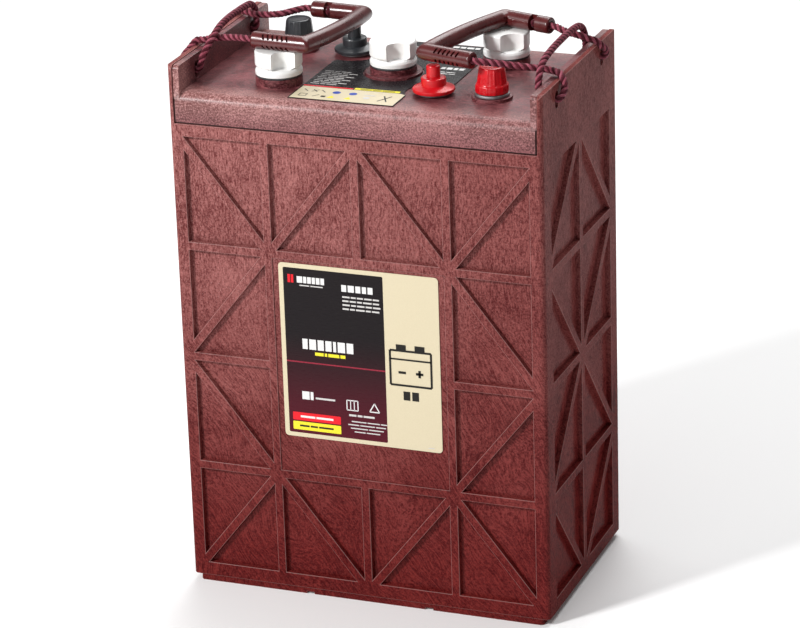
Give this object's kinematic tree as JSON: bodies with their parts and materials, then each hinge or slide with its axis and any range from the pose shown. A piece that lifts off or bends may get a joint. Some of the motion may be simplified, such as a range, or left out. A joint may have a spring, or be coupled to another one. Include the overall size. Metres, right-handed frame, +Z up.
{
  "type": "deep cycle battery",
  "caption": "Tall flooded deep-cycle battery with a ribbed case, rope handles, quarter-turn vent caps and covered stud and tapered-post terminals.",
  "frame": {"origin": "on the ground under the middle of the case, at the bottom centre of the battery without its rope handles' ropes", "axes": "+X along the length towards the positive terminals' end, +Y to the back, away from the large label, +Z up"},
  "size_m": [0.3084, 0.178, 0.4442],
  "materials": {
    "case_plastic": "moulded, dusty, scuffed ribs",
    "cover_plastic": "moulded, satin",
    "grip_plastic": "glossy moulded",
    "rope": "twisted two-tone cord",
    "cap_plastic": "satin white",
    "gasket_rubber": "matte",
    "red_plastic": "soft vinyl",
    "black_plastic": "soft vinyl",
    "front_label": "printed film",
    "top_label": "printed film",
    "lead": "cast lead",
    "steel": "plated",
    "positive_plate": "pasted lead dioxide",
    "negative_plate": "pasted sponge lead",
    "separator": "microporous sheet",
    "shield_plastic": "thin moulded sheet"
  },
  "bodies": {
    "root": {"case": "case_plastic", "cover": "cover_plastic", "front_label": "front_label", "top_label": "top_label", "cap_gasket_1": "gasket_rubber", "positive_plates_1": "positive_plate", "negative_plates_1": "negative_plate", "separator_pack_1": "separator", "element_shield_1": "shield_plastic", "positive_plates_2": "positive_plate", "negative_plates_2": "negative_plate", "separator_pack_2": "separator", "element_shield_2": "shield_plastic", "cap_gasket_3": "gasket_rubber", "positive_plates_3": "positive_plate", "negative_plates_3": "negative_plate", "separator_pack_3": "separator", "element_shield_3": "shield_plastic", "positive_post": "lead", "positive_stud": "lead", "positive_stud_washer": "steel", "positive_stud_nut": "steel", "positive_link_bar": "lead", "positive_stud_cover": "red_plastic", "positive_post_cover": "red_plastic", "negative_post": "lead", "negative_stud": "lead", "negative_stud_washer": "steel", "negative_stud_nut": "steel", "negative_link_bar": "lead", "negative_stud_cover": "black_plastic", "negative_post_cover": "black_plastic", "cell_connector_1": "lead", "cell_connector_2": "lead", "rope_left_outer_front": "rope", "rope_left_strand": "rope", "rope_left_outer_back": "rope", "rope_right_outer_front": "rope", "rope_right_strand": "rope", "rope_right_outer_back": "rope"},
    "cap_1": {"vent_cap_1": "cap_plastic", "splash_baffle_1": "cap_plastic"},
    "cap_2_seal": {"cap_gasket_2": "gasket_rubber"},
    "cap_2": {"vent_cap_2": "cap_plastic", "splash_baffle_2": "cap_plastic"},
    "cap_3": {"vent_cap_3": "cap_plastic", "splash_baffle_3": "cap_plastic"},
    "handle_left": {"handle_grip_left": "grip_plastic", "rope_left_lead_front": "rope", "rope_left_lead_back": "rope"},
    "handle_right": {"handle_grip_right": "grip_plastic", "rope_right_lead_front": "rope", "rope_right_lead_back": "rope"}
  },
  "joints": [
    {"name": "left_handle_swing", "type": "hinge", "parent": "root", "child": "handle_left", "pos_m": [-0.149, 0, 0.425], "axis": [0, -1, 0], "range_deg": [0, 105], "deforming": ["rope_left_strand"]},
    {"name": "right_handle_swing", "type": "hinge", "parent": "root", "child": "handle_right", "pos_m": [0.149, 0, 0.425], "axis": [0, 1, 0], "range_deg": [0, 105], "deforming": ["rope_right_strand"]},
    {"name": "cap_1_turn", "type": "hinge", "parent": "root", "child": "cap_1", "pos_m": [-0.0752, -0.0448, 0.42], "axis": [0, 0, 1], "range_deg": [0, 90]},
    {"name": "cap_2_turn", "type": "hinge", "parent": "cap_2_seal", "child": "cap_2", "pos_m": [0, 0, 0.42], "axis": [0, 0, 1], "range_deg": [0, 90]},
    {"name": "cap_3_turn", "type": "hinge", "parent": "root", "child": "cap_3", "pos_m": [0.0752, 0.0448, 0.42], "axis": [0, 0, 1], "range_deg": [0, 90]},
    {"name": "cap_2_lift", "type": "slide", "parent": "root", "child": "cap_2_seal", "axis": [0, 0, 1], "range_m": [0, 0.05]}
  ]
}
